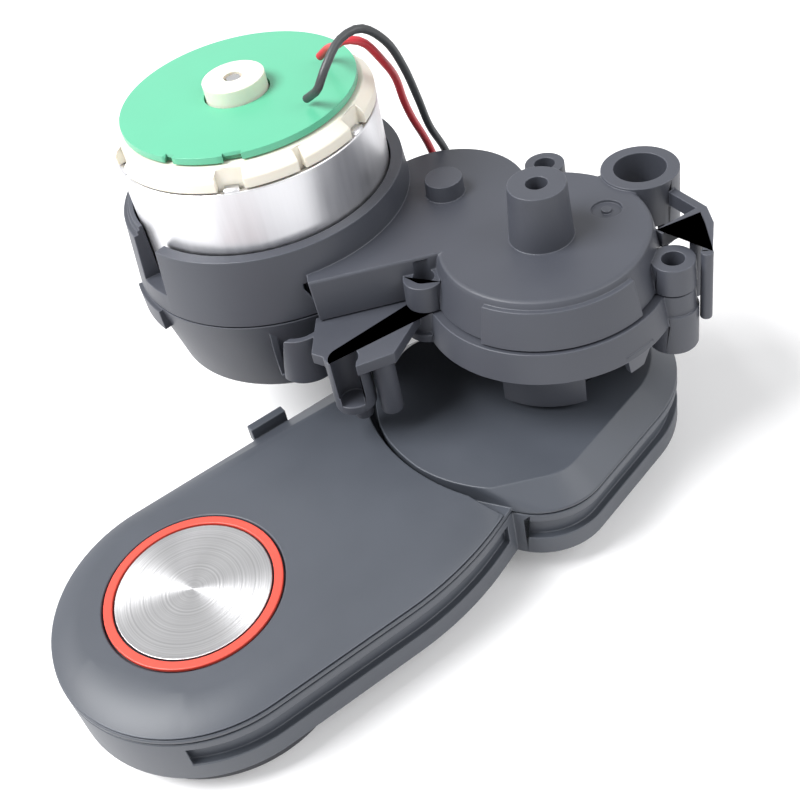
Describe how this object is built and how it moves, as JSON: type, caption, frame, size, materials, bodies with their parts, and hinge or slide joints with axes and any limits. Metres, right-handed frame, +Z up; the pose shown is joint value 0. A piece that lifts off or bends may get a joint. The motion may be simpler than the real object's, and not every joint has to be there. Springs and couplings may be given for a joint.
{
  "type": "robot vacuum side brush motor",
  "caption": "Side brush drive of a robot vacuum: a flat motor in a geared housing over a swinging arm whose belt turns the brush hub under its end.",
  "frame": {"origin": "on the arm's pivot axis, at the flat underside of the arm", "axes": "+X along the arm from its pivot to the brush axis, +Z up along the pivot, motor and brush axes, +Y to the side away from the motor"},
  "size_m": [0.1246, 0.09, 0.0694],
  "materials": {
    "black_housing": "moulded, fine satin",
    "black_arm": "moulded, satin",
    "black_hub": "moulded, satin",
    "red_trim": "gloss",
    "spun_aluminium": "turned in fine circles",
    "screw_steel": "zinc plated",
    "shaft_steel": "ground",
    "can_steel": "drawn, satin plated",
    "rotor_steel": "laminated, with copper windings",
    "copper": "turned",
    "bush_bronze": "sintered",
    "magnet_dark": "sintered ferrite",
    "carbon": "pressed carbon",
    "cream_plastic": "moulded, satin",
    "white_plastic": "moulded, satin",
    "gear_plastic": "moulded, greased",
    "belt_rubber": "matte",
    "board_green": "solder resist",
    "red_insulation": "satin",
    "black_insulation": "satin"
  },
  "bodies": {
    "case": {"upper_housing": "black_housing", "lower_housing": "black_housing", "motor_can": "can_steel", "motor_end_cap": "cream_plastic", "motor_board": "board_green", "motor_front_bush": "bush_bronze", "motor_rear_bush": "bush_bronze", "carbon_brush_left": "carbon", "carbon_brush_right": "carbon", "magnet_front": "magnet_dark", "magnet_rear": "magnet_dark", "first_axle": "shaft_steel", "second_axle": "shaft_steel", "output_upper_bush": "bush_bronze", "output_lower_bush": "bush_bronze", "arm_retainer": "screw_steel", "red_lead": "red_insulation", "black_lead": "black_insulation", "lead_coil": "black_insulation", "lead_plug": "white_plastic"},
    "rotor": {"rotor_core": "rotor_steel", "rotor_shaft": "shaft_steel", "commutator": "copper", "motor_pinion": "bush_bronze"},
    "first_stage": {"first_gear": "gear_plastic"},
    "second_stage": {"second_gear": "gear_plastic"},
    "output": {"output_gear": "gear_plastic", "output_shaft": "shaft_steel", "drive_pulley": "white_plastic"},
    "arm": {"arm_lower_shell": "black_arm", "arm_upper_shell": "black_arm", "arm_cover": "black_arm", "decor_ring": "red_trim", "decor_disc": "spun_aluminium", "drive_belt": "belt_rubber", "hub_lower_bush": "bush_bronze", "hub_upper_bush": "bush_bronze", "arm_screw_1": "screw_steel", "arm_screw_2": "screw_steel", "arm_screw_3": "screw_steel", "arm_screw_4": "screw_steel"},
    "brush": {"brush_hub": "black_hub", "hub_pulley": "white_plastic"}
  },
  "joints": [
    {"name": "arm_swing", "type": "hinge", "parent": "case", "child": "arm", "pos_m": [0, 0, 0.005], "axis": [0, 0, 1], "range_deg": [-40, 20]},
    {"name": "rotor_spin", "type": "hinge", "parent": "case", "child": "rotor", "pos_m": [0.0234, -0.0421, 0.038], "axis": [0, 0, 1], "continuous": true},
    {"name": "first_gear_spin", "type": "hinge", "parent": "case", "child": "first_stage", "pos_m": [0.01111, -0.03249, 0.022], "axis": [0, 0, 1], "continuous": true},
    {"name": "second_gear_spin", "type": "hinge", "parent": "case", "child": "second_stage", "pos_m": [0.00261, -0.02013, 0.028], "axis": [0, 0, 1], "continuous": true},
    {"name": "output_spin", "type": "hinge", "parent": "case", "child": "output", "pos_m": [0, 0, 0.02], "axis": [0, 0, 1], "continuous": true},
    {"name": "brush_spin", "type": "hinge", "parent": "arm", "child": "brush", "pos_m": [0.0684, 0, 0], "axis": [0, 0, 1], "continuous": true}
  ],
  "couplings": [
    {"joint": "first_gear_spin", "follows": "rotor_spin", "ratio": -0.3},
    {"joint": "second_gear_spin", "follows": "rotor_spin", "ratio": 0.11667},
    {"joint": "output_spin", "follows": "rotor_spin", "ratio": -0.056838},
    {"joint": "brush_spin", "follows": "rotor_spin", "ratio": -0.056838}
  ]
}
